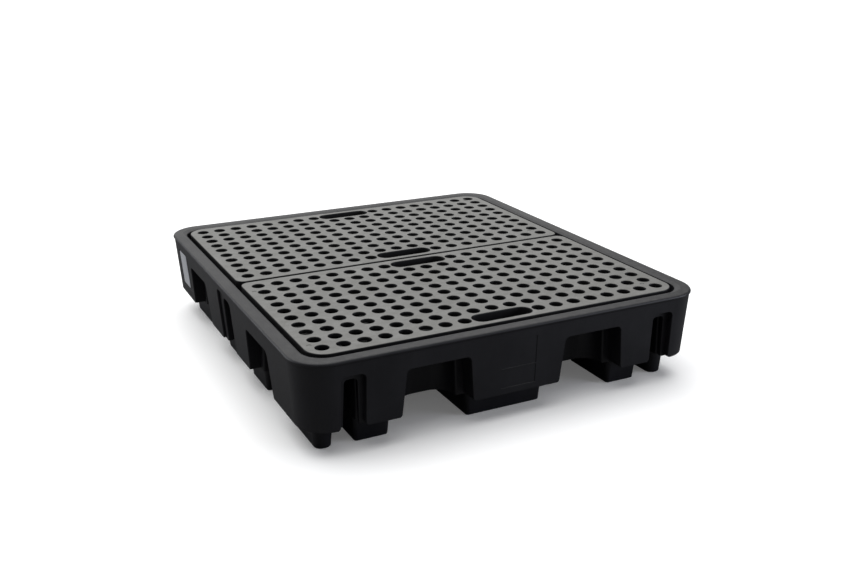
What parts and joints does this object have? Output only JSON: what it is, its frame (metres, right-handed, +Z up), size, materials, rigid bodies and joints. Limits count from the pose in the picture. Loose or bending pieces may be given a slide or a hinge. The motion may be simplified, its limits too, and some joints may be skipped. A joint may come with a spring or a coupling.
{
  "type": "spill containment pallet",
  "caption": "Low four-way-entry spill pallet: a black moulded sump tray on feet, with lift-out perforated deck grates for standing drums above the liquid sump.",
  "frame": {"origin": "on the floor under the middle of the pallet", "axes": "+X to the right along the front (the 1.28 m side), +Y from front to back (the 1.38 m side), +Z up"},
  "size_m": [1.28, 1.38, 0.28],
  "materials": {
    "sump_polyethylene": "black rotational-moulded polyethylene, satin, faintly orange-peeled, slightly scuffed on the rim",
    "grate_polyethylene": "black moulded polyethylene, satin, with a dusty grey bloom and soft chamfered hole edges",
    "label_film": "blank silver-grey film, semi-gloss"
  },
  "bodies": {
    "sump": {"sump_body": "sump_polyethylene", "id_label": "label_film"},
    "front_deck": {"front_grate": "grate_polyethylene"},
    "rear_deck": {"rear_grate": "grate_polyethylene"}
  },
  "joints": [
    {"name": "front_grate_lift", "type": "slide", "parent": "sump", "child": "front_deck", "axis": [0, 0, 1], "range_m": [0, 0.15]},
    {"name": "rear_grate_lift", "type": "slide", "parent": "sump", "child": "rear_deck", "axis": [0, 0, 1], "range_m": [0, 0.15]}
  ]
}
